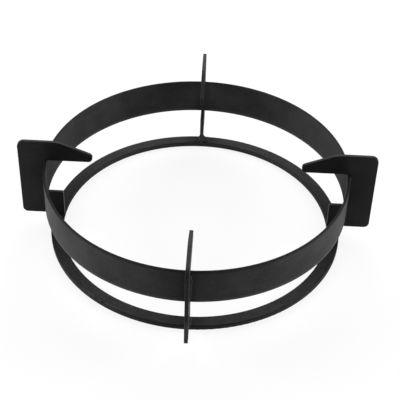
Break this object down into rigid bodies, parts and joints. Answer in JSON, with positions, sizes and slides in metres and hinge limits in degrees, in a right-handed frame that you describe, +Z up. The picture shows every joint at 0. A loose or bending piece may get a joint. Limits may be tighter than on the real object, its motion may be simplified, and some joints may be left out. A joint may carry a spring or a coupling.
{
  "type": "wok ring",
  "caption": "Welded steel wok ring: a flat lower ring, a raised band and upright plates whose sloping fingers carry a round-bottomed pan over a gas burner.",
  "frame": {"origin": "centre of the lower ring's underside, on the rings' common axis", "axes": "+Z up along the rings' axis, away from the burner; +X through the right plate; -Y through the front plate"},
  "size_m": [0.293, 0.293, 0.0825],
  "materials": {
    "band_coating": "satin black heat-resistant coating on rolled strip",
    "ring_coating": "satin black heat-resistant coating on flat ring",
    "plate_coating": "matt black heat-resistant coating on cut plate",
    "weld_coating": "satin black coating over rippled weld"
  },
  "bodies": {
    "root": {"upper_band": "band_coating", "lower_ring": "ring_coating", "support_plate_front": "plate_coating", "support_plate_right": "plate_coating", "support_plate_rear": "plate_coating", "support_plate_left": "plate_coating", "weld_beads_front": "weld_coating", "weld_beads_right": "weld_coating", "weld_beads_rear": "weld_coating", "weld_beads_left": "weld_coating"}
  },
  "joints": []
}
